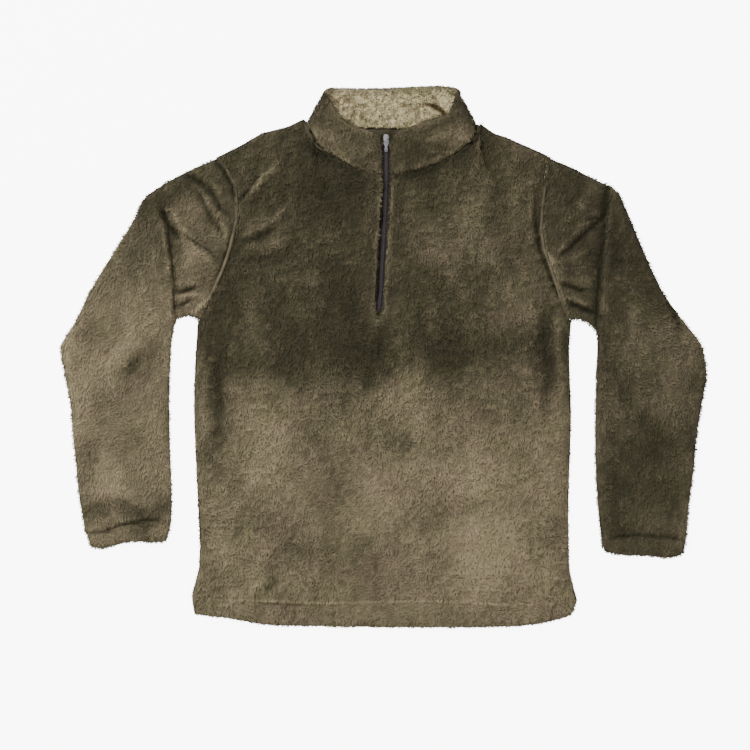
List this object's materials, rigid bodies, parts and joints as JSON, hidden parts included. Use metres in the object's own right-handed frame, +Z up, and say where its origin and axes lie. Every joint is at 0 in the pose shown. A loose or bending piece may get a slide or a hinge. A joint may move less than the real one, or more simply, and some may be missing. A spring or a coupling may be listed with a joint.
{
  "type": "sherpa fleece pullover laid flat",
  "caption": "Quarter-zip pullover of high-pile fleece with a lined stand collar, laid flat with its sleeves folded down.",
  "frame": {"origin": "on the table, below the middle of the garment's box", "axes": "+X across the garment to the right in a view from above, +Y from hem to collar, +Z up from the table"},
  "size_m": [0.9771, 0.8129, 0.0324],
  "materials": {
    "fleece": "brushed high-pile fleece, olive brown with frosted tips",
    "lining": "curly light sherpa",
    "tape": "woven zip tape with a moulded coil",
    "metal": "satin silver"
  },
  "bodies": {
    "garment": {"back": "fleece", "front": "fleece", "sleeve_left": "fleece", "sleeve_right": "fleece", "collar": "fleece", "collar_lining": "lining", "zip_tape_left": "tape", "zip_tape_right": "tape", "slider": "metal"},
    "pull": {"pull_tab": "metal"}
  },
  "joints": [
    {"name": "pull_hinge", "type": "hinge", "parent": "garment", "child": "pull", "pos_m": [0.00384, 0.32088, 0.02533], "axis": [-1, 0, 0], "range_deg": [0, 165]}
  ]
}
